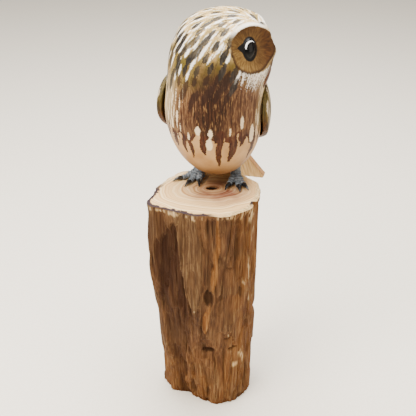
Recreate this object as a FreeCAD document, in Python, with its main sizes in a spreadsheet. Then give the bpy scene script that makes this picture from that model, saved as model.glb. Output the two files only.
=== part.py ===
import FreeCAD, Part
import math
import os

import Sketcher

# Carved and painted wooden owl standing on an upright piece of sawn log.
# Millimetres, +Z up. The origin is the middle of the log's sawn foot, the
# onlooker stands on the -Y side and +X is to the onlooker's right.

os.makedirs("parts", exist_ok=True)
doc = FreeCAD.newDocument("owl_on_log")
V = FreeCAD.Vector

# ---------------------------------------------------------------- dimensions
SIZES = {
    "log_tall": 227.0,         # foot to sanded top
    "pith_long": 10.5,         # oval rot hole at the pith
    "pith_wide": 7.0,
    "pith_deep": 14.0,
    "perch_x": 10.0,           # where the owl stands on the log top
    "perch_y": 20.0,
    "belly_clear": 11.0,       # belly above the log top
    "bowl_tall": 62.0,         # belly up to the widest part of the torso
    "torso_radius": 44.3,
    "torso_shift": -3.0,       # torso middle, sideways from the perch
    "head_level": 123.0,       # widest part of the head above the log top
    "head_radius": 47.5,
    "head_shift": 4.5,
    "crown_tall": 42.7,
    "crown_shift": 8.5,
    "back_shift": 2.0,
    "owl_turn": 15.0,          # body turned to the onlooker's left
    "face_turn": 67.0,         # face turned to the onlooker's right
    "lobe_half": 31.0,         # each half of the face turns off the beak line
    "lobe_tilt": 14.0,
    "lobe_level": 136.0,
    "eye_tall": 19.4,
    "eye_wide": 14.0,
    "wing_level": 73.0,
    "wing_out": 6.8,
    "wing_radius": 46.0,
    "wing_tall": 60.0,
    "wing_board": 5.0,         # thickness of a wing
    "tail_board": 5.0,
    "tail_slope": 60.0,
    "pin_radius": 1.5,
    "dowel_radius": 2.0,
    "fit_gap": 0.05,
}

sheet = doc.addObject("Spreadsheet::Sheet", "Sizes")
for row, (alias, value) in enumerate(SIZES.items(), start=1):
    sheet.set("A%d" % row, alias)
    sheet.set("B%d" % row, str(value))
    sheet.setAlias("B%d" % row, alias)
doc.recompute()


def origin_plane(body, role):
    """One of a body's own origin planes, for example XY_Plane."""
    for feature in body.Origin.OriginFeatures:
        if feature.Role == role:
            return feature
    raise ValueError(role)


def new_body(name):
    return doc.addObject("PartDesign::Body", name)


def sketch_on(body, role, name, x=None, y=None, z=None):
    """A sketch on an origin plane; x, y, z are offset expressions."""
    sketch = body.newObject("Sketcher::SketchObject", name)
    sketch.AttachmentSupport = [(origin_plane(body, role), "")]
    sketch.MapMode = "FlatFace"
    for axis, text in (("x", x), ("y", y), ("z", z)):
        if text is not None:
            sketch.setExpression("AttachmentOffset.Base." + axis, str(text))
    return sketch


def ring(sketch, radius):
    """One circle on the sketch origin, its radius from an expression."""
    index = sketch.addGeometry(Part.Circle(V(0, 0, 0), V(0, 0, 1), 1.0), False)
    sketch.addConstraint(Sketcher.Constraint("Coincident", index, 3, -1, 1))
    number = sketch.addConstraint(Sketcher.Constraint("Radius", index, 1.0))
    sketch.setExpression("Constraints[%d]" % number, str(radius))


def outline(sketch, points):
    """Closed smooth curve through the points."""
    curve = Part.BSplineCurve()
    knots = [index / len(points) for index in range(len(points) + 1)]
    curve.interpolate([V(x, y, 0) for x, y in points], PeriodicFlag=True, Parameters=knots)
    sketch.addGeometry(curve, False)


def loft(body, name, sketches, ruled=False):
    feature = body.newObject("PartDesign::AdditiveLoft", name)
    feature.Profile = sketches[0]
    feature.Sections = sketches[1:]
    feature.Ruled = ruled
    return feature


def heading(degrees_right):
    """Unit direction on the level, turned right from the -Y direction."""
    angle = math.radians(degrees_right)
    return V(math.sin(angle), -math.cos(angle), 0)


def place_facing(point, turn, tilt=0.0):
    """Placement whose +X axis points along a heading, tilted upwards."""
    rotation = FreeCAD.Rotation(V(0, 0, 1), turn - 90.0)
    rotation = rotation.multiply(FreeCAD.Rotation(V(0, 1, 0), -tilt))
    return FreeCAD.Placement(point, rotation)


def cut(name, base, tools):
    """Base with every tool removed, one boolean after the other."""
    result = base
    for number, tool in enumerate(tools):
        step = doc.addObject("Part::Cut", "%s_cut_%d" % (name, number))
        step.Base = result
        step.Tool = tool
        result = step
    result.Label = name
    return result


def common(name, first, second):
    result = doc.addObject("Part::Common", name)
    result.Base = first
    result.Tool = second
    return result


def fuse(name, pieces):
    result = doc.addObject("Part::MultiFuse", name)
    result.Shapes = pieces
    return result


def ellipsoid(name, radii, placement):
    """Ellipsoid with half-lengths along the placement's x, y and z."""
    solid = doc.addObject("Part::Ellipsoid", name)
    solid.Radius2 = radii[0]
    solid.Radius3 = radii[1]
    solid.Radius1 = radii[2]
    solid.Placement = placement
    return solid


def rod(name, radius, start, end):
    """Round bar between two points."""
    solid = doc.addObject("Part::Cylinder", name)
    solid.setExpression("Radius", str(radius))
    axis = end.sub(start)
    solid.Height = axis.Length
    solid.Placement = FreeCAD.Placement(start, FreeCAD.Rotation(V(0, 0, 1), axis))
    return solid


TOP = SIZES["log_tall"]
PERCH = V(SIZES["perch_x"], SIZES["perch_y"], TOP)
PIN = SIZES["pin_radius"]
GAP = SIZES["fit_gap"]
nodes = []

# ------------------------------------------------------------------- the log
# Evenly spaced sections from the foot up: the middle of the section, then its
# radii on sixteen spokes, anticlockwise from +X. The left front keeps a sharp ridge of heartwood, the
# left side steps in below the middle and the foot is hollow at the left front.
LOG_SECTIONS = [
    (2.0, 9.0, [46, 50, 49, 46, 44, 44, 45, 47, 47, 44, 35, 34, 40, 45, 47, 47]),
    (2.0, 8.0, [46, 49, 49, 46, 44, 44, 45, 47, 47, 46, 40, 38, 42, 46, 47, 47]),
    (1.5, 6.0, [48, 50, 49, 47, 46, 46, 46, 48, 49, 50, 45, 42, 44, 47, 49, 48]),
    (1.0, 3.5, [49, 50, 50, 48, 47, 48, 47, 49, 50, 54, 48, 45, 46, 49, 51, 49]),
    (0.5, 2.0, [50, 51, 51, 49, 48, 49, 48, 49, 51, 60, 50, 46, 47, 50, 52, 50]),
    (0.0, 1.0, [51, 52, 52, 50, 49, 50, 48, 48, 50, 60, 50, 46, 48, 52, 52, 50]),
    (0.0, 0.0, [52, 54, 53, 51, 50, 51, 48, 47, 49, 59, 50, 47, 48, 53, 53, 51]),
]
RIDGES = [0.6, -0.8, 0.9, 0.0, -0.9, 0.7, 0.0, 0.8, -0.6, 0.5, -0.9, 0.6, 0.4, -0.8, 0.8, 0.3]


def log_points(radii):
    """Thirty-two points round a section, shallow ridges between the spokes."""
    points = []
    count = len(radii)
    for index in range(count):
        angle = 2 * math.pi * index / count
        after = radii[(index + 1) % count]
        half = angle + math.pi / count
        between = (radii[index] + after) / 2 + RIDGES[index]
        points.append((radii[index] * math.cos(angle), radii[index] * math.sin(angle)))
        points.append((between * math.cos(half), between * math.sin(half)))
    return points


log_body = new_body("log_form")
log_sketches = []
for number, (middle_x, middle_y, radii) in enumerate(LOG_SECTIONS):
    level = "Sizes.log_tall * %d / %d" % (number, len(LOG_SECTIONS) - 1)
    flat = sketch_on(log_body, "XY_Plane", "log_ring_%d" % number, middle_x, middle_y, level)
    outline(flat, log_points(radii))
    log_sketches.append(flat)
loft(log_body, "log_loft", log_sketches)

pith = doc.addObject("Part::Ellipsoid", "pith_hole")
pith.setExpression("Radius1", "Sizes.pith_deep")
pith.setExpression("Radius2", "Sizes.pith_long / 2")
pith.setExpression("Radius3", "Sizes.pith_wide / 2")
pith.Placement.Base = V(5.5, 8.9, TOP)

# ------------------------------------------------------------ head and torso
# One block: the belly is a bowl, the waist is straight, the head is a dome.
# Each ring is a level above the log top, a sideways shift and a radius.
CROWN_FULLNESS = 0.9
owl_rings = []
for angle in (9, 24, 40, 57, 74, 90):
    low = math.cos(math.radians(angle))
    owl_rings.append((
        "Sizes.belly_clear + Sizes.bowl_tall * %.5f" % (1 - low),
        "1 + (Sizes.torso_shift - 1) * %.5f" % (1 - low),
        "Sizes.torso_radius * %.5f" % math.sin(math.radians(angle))))
for share, shift, swell in ((0.33, 0.13, 0.0), (0.67, 0.46, 0.25)):
    base = "(Sizes.belly_clear + Sizes.bowl_tall)"
    owl_rings.append((
        "%s * %.3f + Sizes.head_level * %.3f" % (base, 1 - share, share),
        "Sizes.torso_shift * %.5f + Sizes.head_shift * %.5f" % (1 - shift, shift),
        "Sizes.torso_radius * %.5f + Sizes.head_radius * %.5f" % (1 - swell, swell)))
for angle in (90, 74, 57, 40, 24, 9):
    high = math.cos(math.radians(angle))
    owl_rings.append((
        "Sizes.head_level + Sizes.crown_tall * %.5f" % high,
        "Sizes.head_shift * %.5f + Sizes.crown_shift * %.5f" % (1 - high, high),
        "Sizes.head_radius * %.5f" % math.sin(math.radians(angle)) ** CROWN_FULLNESS))

owl_form = new_body("owl_form")
owl_sketches = []
for number, (level, shift, radius) in enumerate(owl_rings):
    flat = sketch_on(owl_form, "XY_Plane", "owl_ring_%d" % number,
                     "Sizes.perch_x + " + shift, "Sizes.perch_y + Sizes.back_shift",
                     "Sizes.log_tall + " + level)
    ring(flat, radius)
    owl_sketches.append(flat)
loft(owl_form, "owl_loft", owl_sketches)

HEAD = PERCH + V(SIZES["head_shift"], SIZES["back_shift"], SIZES["lobe_level"])
FACE = SIZES["face_turn"]
LOBES = {"left": FACE + SIZES["lobe_half"], "right": FACE - SIZES["lobe_half"]}
brow = ellipsoid("brow_mass", (46.0, 43.0, 31.0),
                 place_facing(HEAD + heading(FACE) * 3.8, FACE))
owl_block = fuse("owl_block", [owl_form, brow])

dishes = []
for side, turn in LOBES.items():
    outward = place_facing(V(0, 0, 0), turn, SIZES["lobe_tilt"]).Rotation.multVec(V(1, 0, 0))
    dishes.append(ellipsoid("dish_" + side, (7.5, 29.5, 28.0),
                            place_facing(HEAD + outward * 45.3, turn, SIZES["lobe_tilt"])))
# The face falls back below the brow, so the beak stands in a shallow hollow.
chin_turn = FACE + 17
dishes.append(ellipsoid("chin_hollow", (9.5, 29.0, 22.0),
                        place_facing(HEAD + heading(chin_turn) * 53.0 + V(0, 0, -20), chin_turn)))
face_block = cut("face_block", owl_block, dishes)

# ---------------------------------------------------------------------- eyes
# Domed oval eyes on a short peg, the peg sunk in the middle of each dish.
EYE_LONG = SIZES["eye_tall"] / 2
EYE_WIDE = SIZES["eye_wide"] / 2
EYE_LEAN = 10.0
eyes = {}
sockets = []
for side, turn in LOBES.items():
    facing = place_facing(V(0, 0, 0), turn, SIZES["lobe_tilt"])
    outward = facing.Rotation.multVec(V(1, 0, 0))
    seat = HEAD + outward * 37.6 + V(0, 0, -5.5)
    lean = FreeCAD.Rotation(V(1, 0, 0), EYE_LEAN if side == "left" else -EYE_LEAN)
    where = FreeCAD.Placement(seat, facing.Rotation.multiply(lean))
    dome = ellipsoid("eye_dome_" + side, (5.6, EYE_WIDE, EYE_LONG), where)
    socket = ellipsoid("eye_socket_" + side, (5.6 + GAP, EYE_WIDE + GAP, EYE_LONG + GAP), where)
    dome.Label = "eye_" + side
    eyes[side] = dome
    sockets.append(socket)

# ---------------------------------------------------------------------- beak
# Hooked beak seated on the ridge between the two halves of the face.
beak_form = new_body("beak_form")
BEAK_RINGS = [(9.0, 41.6, 1.8), (5.0, 41.9, 3.1), (0.0, 42.0, 4.1), (-6.0, 41.4, 4.0),
              (-11.0, 40.6, 3.3), (-16.0, 39.8, 2.1), (-20.0, 39.2, 0.8)]
beak_sketches = []
for number, (level, reach, radius) in enumerate(BEAK_RINGS):
    flat = sketch_on(beak_form, "XY_Plane", "beak_ring_%d" % number, reach, 0, level)
    ring(flat, radius)
    beak_sketches.append(flat)
loft(beak_form, "beak_loft", beak_sketches)
beak_form.Placement = place_facing(HEAD + V(0, 0, -16.0), FACE)

# ---------------------------------------------------------------------- pins
# Steel pins run from the belly through each foot into the log.
TURN = SIZES["owl_turn"]
ANKLES = {"left": V(28.5, 27.0, TOP), "right": V(-6.0, 34.0, TOP)}
leg_pins = {}
pin_holes = []
for side, ankle in ANKLES.items():
    start = ankle + V(0, 0, -22)
    end = ankle + V(0, 0, 42)
    leg_pins[side] = rod("leg_pin_" + side, "Sizes.pin_radius", start, end)
    pin_holes.append(rod("pin_hole_" + side, "Sizes.pin_radius + Sizes.fit_gap",
                         start - V(0, 0, 0.5), end + V(0, 0, 0.5)))

# --------------------------------------------------------------------- wings
# Cupped boards that hug the back and stand off the flank at their front edge.
MIDDLE = PERCH + V(SIZES["torso_shift"], SIZES["back_shift"], SIZES["wing_level"])
WING_OUTLINE = [(-8, 2), (-3, 17), (9, 27), (23, 25), (34, 12), (41, -8), (45, -34),
                (42, -44), (33, -40), (20, -31), (6, -21), (-4, -10)]
wing_forms = {}
wing_dowels = {}
dowel_holes = []
for side, sign in (("left", 1.0), ("right", -1.0)):
    outward_turn = sign * 90.0 - TURN
    facing = place_facing(MIDDLE, outward_turn)
    outward = heading(outward_turn)
    centre = FreeCAD.Placement(MIDDLE + outward * SIZES["wing_out"], facing.Rotation)
    radius = SIZES["wing_radius"]
    board = SIZES["wing_board"]
    outer = ellipsoid("wing_outer_" + side, (radius, radius, SIZES["wing_tall"]), centre)
    inner = ellipsoid("wing_inner_" + side,
                      (radius - board, radius - board, SIZES["wing_tall"] - 3), centre)
    leaf = new_body("wing_leaf_" + side)
    flat = sketch_on(leaf, "YZ_Plane", "wing_outline_" + side)
    outline(flat, [(sign * back, up) for back, up in WING_OUTLINE])
    pad = leaf.newObject("PartDesign::Pad", "wing_pad_" + side)
    pad.Profile = flat
    pad.Length = 80.0
    leaf.Placement = facing
    shell = cut("wing_shell_" + side, outer, [inner])
    wing_forms[side] = common("wing_cup_" + side, shell, leaf)
    backward = heading(180.0 - TURN)
    dowels = []
    holes = []
    for number, (back, up) in enumerate(((30.0, 10.0), (34.0, -12.0))):
        spot = MIDDLE + V(0, 0, up)
        aim = (backward * back + outward * 36.0).normalize()
        dowels.append(rod("wing_dowel_%s_%d" % (side, number), "Sizes.dowel_radius",
                          spot + aim * 34.0, spot + aim * 46.0))
        holes.append(rod("wing_dowel_hole_%s_%d" % (side, number),
                         "Sizes.dowel_radius + Sizes.fit_gap",
                         spot + aim * 33.6, spot + aim * 46.4))
    wing_dowels[side] = dowels
    dowel_holes.append((side, holes))

# ---------------------------------------------------------------------- tail
# A flat fan set under the rump, sloping down behind the log.
TAIL_OUTLINE = [(-14, 6), (14, 6), (20, -14), (35, -49), (33, -53), (0, -57), (-33, -53), (-35, -49),
                (-20, -14)]
tail_form = new_body("tail_fan")
tail_flat = sketch_on(tail_form, "YZ_Plane", "tail_outline")
tail_edges = [V(side, up, 0) for side, up in TAIL_OUTLINE]
for first, second in zip(tail_edges, tail_edges[1:] + tail_edges[:1]):
    tail_flat.addGeometry(Part.LineSegment(first, second), False)
tail_pad = tail_form.newObject("PartDesign::Pad", "tail_pad")
tail_pad.Profile = tail_flat
tail_pad.setExpression("Length", "Sizes.tail_board")
TAIL_TURN = 180.0 - TURN - 7.0
TAIL_ROOT = PERCH + V(SIZES["torso_shift"], SIZES["back_shift"], 33.0) + heading(TAIL_TURN) * 24.0
tail_form.Placement = place_facing(TAIL_ROOT, TAIL_TURN, 90.0 - SIZES["tail_slope"])

# ---------------------------------------------------------------------- feet
# Each toe runs along its own +X from the ankle; the sole is rubbed flat.
TOE_RINGS = [(0.00, 8.0, 3.8), (0.28, 6.9, 3.7), (0.42, 5.6, 3.1), (0.60, 4.2, 3.3),
             (0.76, 3.0, 2.6), (0.90, 2.6, 2.8), (1.00, 2.4, 2.3)]
CLAW_RINGS = [(0.00, 2.4, 2.25), (0.25, 2.7, 2.0), (0.55, 2.5, 1.45), (0.80, 1.7, 0.85), (1.00, 0.75, 0.35)]
TOES = {
    "right": [(-64.0, 18.7, 10.0), (-30.0, 18.2, 10.0), (-1.0, 14.5, 9.2), (160.0, 8.0, 6.0)],
    "left": [(-24.0, 16.5, 9.7), (6.5, 18.8, 10.2), (25.0, 17.0, 10.0), (172.0, 9.0, 7.0)],
}


def digit(name, rings, length, start):
    """Loft of circles along +X, from start, over a length."""
    body = new_body(name)
    sketches = []
    for number, (share, level, radius) in enumerate(rings):
        flat = sketch_on(body, "YZ_Plane", "%s_ring_%d" % (name, number), 0, level,
                         start + share * length)
        ring(flat, radius)
        sketches.append(flat)
    loft(body, name + "_loft", sketches)
    return body


below = doc.addObject("Part::Box", "below_log_top")
below.Length = 200.0
below.Width = 200.0
below.Height = 20.0
below.Placement.Base = V(-90, -80, TOP - 20)

feet = {}
claws = []
for side, toes in TOES.items():
    ankle = ANKLES[side]
    pieces = []
    for number, (turn, toe_long, claw_long) in enumerate(toes, start=1):
        toe = digit("toe_%s_%d" % (side, number), TOE_RINGS, toe_long, 0.0)
        toe.Placement = place_facing(ankle, turn)
        pieces.append(toe)
        claw = digit("claw_%s_%d_form" % (side, number), CLAW_RINGS, claw_long, toe_long)
        claw.Placement = place_facing(ankle, turn)
        claws.append(("claw_%s_%d" % (side, number), claw))
    shank = doc.addObject("Part::Cone", "shank_" + side)
    shank.Radius1 = 5.2
    shank.Radius2 = 4.4
    shank.Height = 24.0
    shank.Placement.Base = ankle
    feet[side] = fuse("foot_block_" + side, pieces + [shank])

# ----------------------------------------------------------- finished pieces
wing_hole_list = [hole for _, holes in dowel_holes for hole in holes]
owl = cut("owl_body", face_block, [beak_form] + sockets + pin_holes + wing_hole_list)
nodes.append(owl)
nodes.append(cut("log", log_body, [pith] + pin_holes))
nodes.append(beak_form)
beak_form.Label = "beak"
nodes.extend(eyes.values())
for side, holes in dowel_holes:
    nodes.append(cut("wing_" + side, wing_forms[side], [face_block] + holes))
    dowel_group = doc.addObject("Part::Compound", "wing_dowels_" + side)
    dowel_group.Links = wing_dowels[side]
    nodes.append(dowel_group)
nodes.append(cut("tail", tail_form, [face_block]))
for side in ANKLES:
    nodes.append(cut("foot_" + side, feet[side], [below, face_block] + pin_holes))
    nodes.append(leg_pins[side])
for name, claw in claws:
    nodes.append(cut(name, claw, [below]))

doc.recompute()
for item in doc.Objects:
    bad = [flag for flag in item.State if flag in ("Invalid", "Error")]
    if bad:
        raise RuntimeError("%s: %s" % (item.Label, bad))
for node in nodes:
    shape = node.Shape
    if shape.isNull() or not shape.isValid():
        raise RuntimeError("bad shape: " + node.Label)
    shape.exportStep("parts/%s.step" % node.Label)
    box = shape.BoundBox
    print("%-20s solids %d  x %.1f..%.1f  y %.1f..%.1f  z %.1f..%.1f" % (
        node.Label, len(shape.Solids), box.XMin, box.XMax, box.YMin, box.YMax, box.ZMin, box.ZMax))
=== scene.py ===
# Carved and painted wooden owl, head turned aside, on an upright split log.
import math
import random

import bmesh
import bpy
import numpy as np
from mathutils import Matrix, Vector, kdtree


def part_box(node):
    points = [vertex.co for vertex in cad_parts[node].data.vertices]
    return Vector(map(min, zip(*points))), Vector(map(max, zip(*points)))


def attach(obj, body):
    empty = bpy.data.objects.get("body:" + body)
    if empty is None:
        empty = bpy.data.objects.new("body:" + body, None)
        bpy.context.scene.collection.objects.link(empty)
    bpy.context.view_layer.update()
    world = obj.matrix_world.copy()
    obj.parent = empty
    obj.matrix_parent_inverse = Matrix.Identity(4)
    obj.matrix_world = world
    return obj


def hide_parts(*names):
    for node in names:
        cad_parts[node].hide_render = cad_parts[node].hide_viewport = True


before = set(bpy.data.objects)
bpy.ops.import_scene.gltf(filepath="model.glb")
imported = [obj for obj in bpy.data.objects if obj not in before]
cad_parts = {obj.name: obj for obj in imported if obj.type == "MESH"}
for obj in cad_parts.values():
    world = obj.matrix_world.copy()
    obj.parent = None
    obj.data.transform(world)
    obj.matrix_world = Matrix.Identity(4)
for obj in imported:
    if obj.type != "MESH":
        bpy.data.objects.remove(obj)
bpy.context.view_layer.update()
MM = 0.001
LOG_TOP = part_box("log")[1][2] / MM
TORSO = np.array([7.0, 22.0])          # middle of the torso seen from above
HEAD = np.array([14.5, 22.0, LOG_TOP + 136.0])
FACE_TURN = 67.0                       # degrees right of the front
LOBE_HALF = 31.0
LOBE_TILT = 14.0
DISH = (7.5, 29.5, 28.0)               # half-sizes of a face hollow
DISH_REACH = 45.3
PITH = (5.5, 8.9)                      # middle of the growth rings
RING_WARP = 14.0                       # how far the rings are pushed out of round


# ------------------------------------------------------------ small helpers
def tint(code, alpha=1.0):
    """sRGB hex to a linear colour."""
    parts = [int(code[i:i + 2], 16) / 255 for i in (0, 2, 4)]
    return tuple(c / 12.92 if c <= 0.04045 else ((c + 0.055) / 1.055) ** 2.4
                 for c in parts) + (alpha,)


def add(tree, kind, inputs=None, stops=None, **settings):
    """A node with its settings; inputs are values or sockets to link."""
    node = tree.nodes.new(kind)
    for name, value in settings.items():
        setattr(node, name, value)
    if stops:
        ramp = node.color_ramp.elements
        while len(ramp) < len(stops):
            ramp.new(0.5)
        for element, (place, code) in zip(ramp, stops):
            element.position = place
            element.color = tint(code) if isinstance(code, str) else (code, code, code, 1)
    for name, value in (inputs or {}).items():
        if isinstance(value, bpy.types.NodeSocket):
            tree.links.new(value, node.inputs[name])
        else:
            node.inputs[name].default_value = value
    return node


def new_material(name):
    """A material with its tree emptied down to the shader, and its millimetre coordinates."""
    material = bpy.data.materials.new(name)
    material.use_nodes = True
    tree = material.node_tree
    shader = tree.nodes["Principled BSDF"]
    place = add(tree, "ShaderNodeTexCoord").outputs["Object"]
    spot = add(tree, "ShaderNodeVectorMath", {0: place, "Scale": 1000.0},
               operation="SCALE").outputs[0]
    return material, tree, shader, spot


def value_noise(points, size, seed):
    """Smooth noise from -1 to 1 at each point; size is the lump size along x, y and z."""
    cell = points / np.array(size) + seed * 17.31
    low = np.floor(cell).astype(np.int64)
    part = cell - low
    part = part * part * part * (part * (part * 6 - 15) + 10)
    total = np.zeros(len(points))
    for corner in range(8):
        step = np.array([corner & 1, corner >> 1 & 1, corner >> 2 & 1])
        at = (low + step) & 0xFFFF
        mixed = (at[:, 0] * 73856093) ^ (at[:, 1]
                                         * 19349663) ^ (at[:, 2] * 83492791) ^ (seed * 2654435)
        mixed = (mixed ^ (mixed >> 13)) * 1274126177 & 0x7FFFFFFF
        mixed = (mixed ^ (mixed >> 16)) & 0xFFFF
        weight = np.prod(np.where(step == 1, part, 1 - part), axis=1)
        total += weight * (mixed / 32767.5 - 1)
    return total


def smooth_step(value, low, high):
    part = np.clip((value - low) / (high - low), 0, 1)
    return part * part * (3 - 2 * part)


def heading(turn, tilt=0.0):
    """Unit direction turned right of the front, tilted up."""
    a, b = math.radians(turn), math.radians(tilt)
    return np.array([math.sin(a) * math.cos(b), -math.cos(a) * math.cos(b), math.sin(b)])


def dense_copy(node, name, voxel, smooth_steps=0):
    """A CAD node's shape as one even, fine mesh, ready for carving and painting."""
    bm = bmesh.new()
    bm.from_mesh(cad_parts[node].data)
    bmesh.ops.remove_doubles(bm, verts=bm.verts, dist=2e-6)
    mesh = bpy.data.meshes.new(name + "_blank")
    bm.to_mesh(mesh)
    bm.free()
    piece = bpy.data.objects.new(name, mesh)
    bpy.context.scene.collection.objects.link(piece)
    even = piece.modifiers.new("even", "REMESH")
    even.mode = "VOXEL"
    even.voxel_size = voxel * MM
    if smooth_steps:
        soften = piece.modifiers.new("soften", "SMOOTH")
        soften.factor = 0.5
        soften.iterations = smooth_steps
    graph = bpy.context.evaluated_depsgraph_get()
    finished = bpy.data.meshes.new_from_object(piece.evaluated_get(graph))
    piece.modifiers.clear()
    piece.data = finished
    finished.name = name
    finished.materials.clear()
    finished.polygons.foreach_set("use_smooth", [True] * len(finished.polygons))
    return piece


def points_of(piece):
    flat = np.empty(len(piece.data.vertices) * 3)
    piece.data.vertices.foreach_get("co", flat)
    return flat.reshape(-1, 3) / MM


def normals_of(piece):
    flat = np.empty(len(piece.data.vertices) * 3)
    piece.data.vertex_normals.foreach_get("vector", flat)
    return flat.reshape(-1, 3)


def move_points(piece, points):
    piece.data.vertices.foreach_set("co", (points * MM).ravel())
    piece.data.update()


def store(piece, name, values):
    layer = piece.data.attributes.new(name, "FLOAT", "POINT")
    layer.data.foreach_set("value", values.astype(np.float32))


def finish_piece(piece, material, slot, *nodes):
    piece.data.materials.append(material)
    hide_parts(*nodes)
    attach(piece, "root")


def times(tree, first, second):
    """Product of two values."""
    return sum_up(tree, "MULTIPLY", first, second)


def laid(tree, where, under, over):
    """One colour laid over another, where a mask is on."""
    return add(tree, "ShaderNodeMix", {0: where, 6: under, 7: over}, data_type="RGBA").outputs[2]


def downhill(normals):
    """Steepest way down along the surface, at each point."""
    down = np.tile([0.0, 0.0, -1.0], (len(normals), 1)) + normals[:, 2:3] * normals
    return down / (np.linalg.norm(down, axis=1)[:, None] + 1e-9)


def sum_up(tree, operation, first, second):
    """Result of a sum on two values."""
    return add(tree, "ShaderNodeMath", {0: first, 1: second}, operation=operation).outputs[0]


def scaled(tree, vector, size):
    """A vector made longer or shorter."""
    return add(tree, "ShaderNodeVectorMath", {0: vector, "Scale": size},
               operation="SCALE").outputs[0]


def colours(tree, value, stops):
    """Colour of a value between stops."""
    return add(tree, "ShaderNodeValToRGB", {"Fac": value}, stops=stops).outputs[0]


def stored(tree, name):
    """Value stored on the mesh under a name."""
    return add(tree, "ShaderNodeAttribute", attribute_name=name).outputs["Fac"]


def stretched(tree, place, scale):
    """A place squeezed along an axis, which draws a field out along it."""
    return add(tree, "ShaderNodeMapping", {"Vector": place, "Scale": scale}).outputs[0]


def bumps(tree, height, strength, distance):
    """Relief from a height."""
    return add(tree, "ShaderNodeBump", {"Height": height, "Strength": strength,
                                        "Distance": distance}).outputs[0]


def vector_length(tree, vector):
    """Length of a vector."""
    return add(tree, "ShaderNodeVectorMath", {0: vector}, operation="LENGTH").outputs["Value"]


def feed(tree, shader, name, socket):
    """A socket linked to an input of the shader."""
    tree.links.new(socket, shader.inputs[name])


def span(tree, value, low, high, to_low=0.0, to_high=1.0):
    """Value carried from one range into another, and held at its ends."""
    return add(tree, "ShaderNodeMapRange", {"Value": value, "From Min": low, "From Max": high,
                                            "To Min": to_low, "To Max": to_high}).outputs[0]


def noise(tree, place, scale, detail, roughness=0.5):
    """Soft random field at a place, in bumps per millimetre."""
    return add(tree, "ShaderNodeTexNoise", {"Vector": place, "Scale": scale, "Detail": detail,
                                            "Roughness": roughness}).outputs["Fac"]


class Brush:
    """Lays strokes on a mesh as fields: each holds how far inside a stroke a point is, in mm."""

    def __init__(self, points, normals):
        self.points = points
        self.normals = normals
        self.tree = kdtree.KDTree(len(points))
        for index, point in enumerate(points):
            self.tree.insert(point, index)
        self.tree.balance()
        self.fields = {}

    def field(self, name):
        if name not in self.fields:
            self.fields[name] = np.full(len(self.points), -3.0)
        return self.fields[name]

    def nearest(self, point):
        return self.tree.find(point)[1]

    def trace(self, start, flow, length, step=2.5):
        """A path on the surface from the middle of a stroke, along the flow both ways."""
        both = []
        for sense in (-1.0, 1.0):
            index = start
            path = []
            for _ in range(max(1, round(length / 2 / step))):
                index = self.nearest(self.points[index] + flow[index] * step * sense)
                path.append(self.points[index])
            both.append(path)
        return both[0][::-1] + [self.points[start]] + both[1]

    def stroke(self, name, path, half_width, head=0.35, tail=0.35):
        """Widest in the middle; head and tail are the share of the width left at the ends."""
        field = self.field(name)
        count = len(path) - 1
        for number in range(count):
            a, b = np.array(path[number]), np.array(path[number + 1])
            along = b - a
            long2 = max(float(along @ along), 1e-6)
            reach = math.sqrt(long2) / 2 + half_width + 2.5
            near = [found[1] for found in self.tree.find_range((a + b) / 2, reach)]
            if not near:
                continue
            away = self.points[near] - a
            share = np.clip(away @ along / long2, 0, 1)
            gap = np.linalg.norm(away - share[:, None] * along, axis=1)
            place = (number + share) / count
            swell = np.where(place < 0.5, head + (1 - head) * np.sin(place * math.pi),
                             tail + (1 - tail) * np.sin(place * math.pi))
            field[near] = np.maximum(field[near], half_width * swell - gap)

    def scatter(self, allowed, flow, along, across, seed, tries=60000):
        """Spots spread evenly: no two closer than along and across the flow."""
        dice = random.Random(seed)
        pool = np.flatnonzero(allowed)
        kept = []
        for _ in range(tries):
            index = int(pool[dice.randrange(len(pool))])
            point, way = self.points[index], flow[index]
            if kept:
                away = self.points[kept] - point
                forward = away @ way
                sideways = np.sqrt(np.maximum((away ** 2).sum(1) - forward ** 2, 0))
                if ((forward / along) ** 2 + (sideways / across) ** 2 < 1).any():
                    continue
            kept.append(index)
            if len(kept) > 400:
                break
        return kept


# ------------------------------------------------------- the painted figure
owl = dense_copy("owl_body", "painted_owl", 0.9, 4)
points = points_of(owl)
normals = normals_of(owl)
middle_x = TORSO[0] + 7.5 * np.clip((points[:, 2] - 300) / 50, 0, 1)
turn = np.degrees(np.arctan2(points[:, 0] - middle_x, -(points[:, 1] - TORSO[1])))
level = points[:, 2]
brush = Brush(points, normals)


def lobe_frame(side):
    """Outward, sideways and upward directions of one hollow of the face."""
    out = heading(FACE_TURN + side * LOBE_HALF, LOBE_TILT)
    across = np.cross([0, 0, 1], out)
    across /= np.linalg.norm(across)
    return out, across, np.cross(out, across)


hollow = np.full(len(points), 9.0)
lobe_up = np.zeros(len(points))
lobe_across = np.zeros(len(points))
for side in (-1, 1):
    out, across, up = lobe_frame(side)
    away = points - HEAD
    depth, wide, tall = away @ out, away @ across, away @ up
    shell = np.sqrt(((depth - DISH_REACH) / DISH[0]) ** 2 + (wide / DISH[1]) ** 2
                    + (tall / DISH[2]) ** 2)
    gap = np.where(depth > 30, (shell - 1) * 12.0, 9.0)
    closer = gap < hollow
    hollow = np.where(closer, gap, hollow)
    lobe_up = np.where(closer, tall, lobe_up)
    lobe_across = np.where(closer, wide * side, lobe_across)
inside = hollow < 0.3
ends = np.empty(len(owl.data.edges) * 2, dtype=np.int32)
owl.data.edges.foreach_get("vertices", ends)
ends = ends.reshape(-1, 2)
rim_edges = ends[inside[ends[:, 0]] != inside[ends[:, 1]]]
rim_tree = kdtree.KDTree(len(rim_edges))
for number, (a, b) in enumerate(rim_edges):
    rim_tree.insert((points[a] + points[b]) / 2, number)
rim_tree.balance()
rim_gap = np.full(len(points), 20.0)
for index in np.flatnonzero(points @ heading(FACE_TURN) > 12):
    rim_gap[index] = rim_tree.find(points[index])[2]
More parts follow.
